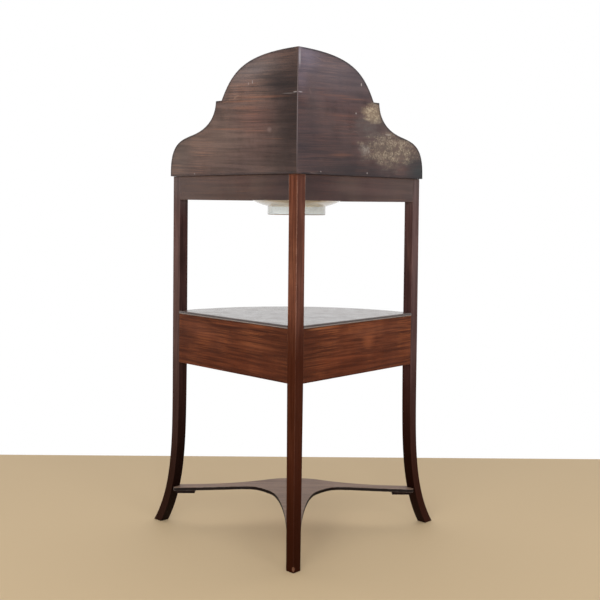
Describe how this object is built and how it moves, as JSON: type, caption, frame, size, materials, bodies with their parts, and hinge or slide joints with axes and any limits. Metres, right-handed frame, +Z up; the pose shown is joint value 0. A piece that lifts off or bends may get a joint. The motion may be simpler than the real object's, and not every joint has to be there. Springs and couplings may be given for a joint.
{
  "type": "corner washstand",
  "caption": "Quadrant corner washstand in dark wood: shaped splashback, hanging basin, bow-fronted drawer case under a shelf, swept front legs and a low shaped stretcher.",
  "frame": {"origin": "centre of the bounding box at floor level, midway between the room corner's arris and the bow front's furthest point", "axes": "+Z up; the bow front faces -Y, and the right-angled back corner points to +Y; +X is on the right of someone who stands in front of the washstand and faces it"},
  "size_m": [0.7026, 0.4388, 1.13],
  "materials": {
    "back_post": "red mahogany, satin",
    "case_block_left_fore": "bare aged softwood",
    "case_block_left_rear": "bare aged softwood",
    "case_block_right_fore": "bare aged softwood",
    "case_block_right_rear": "bare aged softwood",
    "case_divider_left": "warm red-brown mahogany with straight grain, satin",
    "case_divider_right": "warm red-brown mahogany with straight grain, satin",
    "case_rail_left": "warm red-brown mahogany with straight grain, satin",
    "case_rail_lower": "warm red-brown mahogany with straight grain, satin",
    "case_rail_right": "warm red-brown mahogany with straight grain, satin",
    "case_rail_upper": "warm red-brown mahogany with straight grain, satin",
    "corner_shelf": "warm red-brown mahogany with straight grain, satin",
    "drawer_back": "bare aged softwood",
    "drawer_bottom": "bare aged softwood",
    "drawer_front": "warm red-brown mahogany with straight grain, satin",
    "drawer_guide_left": "bare aged softwood",
    "drawer_guide_right": "bare aged softwood",
    "drawer_knob": "old lacquered brass",
    "drawer_knob_nut": "old lacquered brass",
    "drawer_runner_left": "bare aged softwood",
    "drawer_runner_right": "bare aged softwood",
    "drawer_side_left": "bare aged softwood",
    "drawer_side_right": "bare aged softwood",
    "drawer_stop_left": "bare aged softwood",
    "drawer_stop_right": "bare aged softwood",
    "dummy_front_left": "warm red-brown mahogany with straight grain, satin",
    "dummy_front_right": "warm red-brown mahogany with straight grain, satin",
    "dummy_knob_left": "old lacquered brass",
    "dummy_knob_left_nut": "old lacquered brass",
    "dummy_knob_right": "old lacquered brass",
    "dummy_knob_right_nut": "old lacquered brass",
    "front_leg_left": "dark polished mahogany, worn satin",
    "front_leg_right": "dark polished mahogany, worn satin",
    "middle_shelf": "mahogany, smooth polish that mirrors light at a low angle",
    "splash_board_left": "mahogany under a dusty old polish",
    "splash_board_right": "mahogany under a dusty old polish",
    "splash_nail_left_1": "dull iron, flush head",
    "splash_nail_left_2": "dull iron, flush head",
    "splash_nail_left_3": "dull iron, flush head",
    "splash_nail_left_4": "dull iron, flush head",
    "splash_nail_right_1": "dull iron, flush head",
    "splash_nail_right_2": "dull iron, flush head",
    "splash_nail_right_3": "dull iron, flush head",
    "splash_nail_right_4": "dull iron, flush head",
    "stretcher": "mahogany under a dusty old polish",
    "stretcher_cleat_left": "dark polished mahogany, worn satin",
    "stretcher_cleat_right": "dark polished mahogany, worn satin",
    "stretcher_screw_left": "dull iron, flush head",
    "stretcher_screw_right": "dull iron, flush head",
    "top_block_left_fore": "bare aged softwood",
    "top_block_left_rear": "bare aged softwood",
    "top_block_right_fore": "bare aged softwood",
    "top_block_right_rear": "bare aged softwood",
    "top_board": "warm red-brown mahogany with straight grain, satin",
    "top_rail_front": "warm red-brown mahogany with straight grain, satin",
    "top_rail_left": "mahogany under a dusty old polish",
    "top_rail_right": "mahogany under a dusty old polish",
    "wash_basin": "cream-white glazed earthenware, high gloss"
  },
  "bodies": {
    "stand": {"back_post": "back_post", "case_block_left_fore": "case_block_left_fore", "case_block_left_rear": "case_block_left_rear", "case_block_right_fore": "case_block_right_fore", "case_block_right_rear": "case_block_right_rear", "case_divider_left": "case_divider_left", "case_divider_right": "case_divider_right", "case_rail_left": "case_rail_left", "case_rail_lower": "case_rail_lower", "case_rail_right": "case_rail_right", "case_rail_upper": "case_rail_upper", "corner_shelf": "corner_shelf", "drawer_guide_left": "drawer_guide_left", "drawer_guide_right": "drawer_guide_right", "drawer_runner_left": "drawer_runner_left", "drawer_runner_right": "drawer_runner_right", "drawer_stop_left": "drawer_stop_left", "drawer_stop_right": "drawer_stop_right", "dummy_front_left": "dummy_front_left", "dummy_front_right": "dummy_front_right", "dummy_knob_left": "dummy_knob_left", "dummy_knob_left_nut": "dummy_knob_left_nut", "dummy_knob_right": "dummy_knob_right", "dummy_knob_right_nut": "dummy_knob_right_nut", "front_leg_left": "front_leg_left", "front_leg_right": "front_leg_right", "middle_shelf": "middle_shelf", "splash_board_left": "splash_board_left", "splash_board_right": "splash_board_right", "splash_nail_left_1": "splash_nail_left_1", "splash_nail_left_2": "splash_nail_left_2", "splash_nail_left_3": "splash_nail_left_3", "splash_nail_left_4": "splash_nail_left_4", "splash_nail_right_1": "splash_nail_right_1", "splash_nail_right_2": "splash_nail_right_2", "splash_nail_right_3": "splash_nail_right_3", "splash_nail_right_4": "splash_nail_right_4", "stretcher": "stretcher", "stretcher_cleat_left": "stretcher_cleat_left", "stretcher_cleat_right": "stretcher_cleat_right", "stretcher_screw_left": "stretcher_screw_left", "stretcher_screw_right": "stretcher_screw_right", "top_block_left_fore": "top_block_left_fore", "top_block_left_rear": "top_block_left_rear", "top_block_right_fore": "top_block_right_fore", "top_block_right_rear": "top_block_right_rear", "top_board": "top_board", "top_rail_front": "top_rail_front", "top_rail_left": "top_rail_left", "top_rail_right": "top_rail_right"},
    "drawer": {"drawer_front": "drawer_front", "drawer_side_left": "drawer_side_left", "drawer_side_right": "drawer_side_right", "drawer_back": "drawer_back", "drawer_bottom": "drawer_bottom", "drawer_knob": "drawer_knob", "drawer_knob_nut": "drawer_knob_nut"},
    "basin": {"wash_basin": "wash_basin"}
  },
  "joints": [
    {"name": "drawer_slide", "type": "slide", "parent": "stand", "child": "drawer", "axis": [0, -1, 0], "range_m": [0, 0.2]},
    {"name": "basin_lift", "type": "slide", "parent": "stand", "child": "basin", "axis": [0, 0, 1], "range_m": [0, 0.12]}
  ]
}
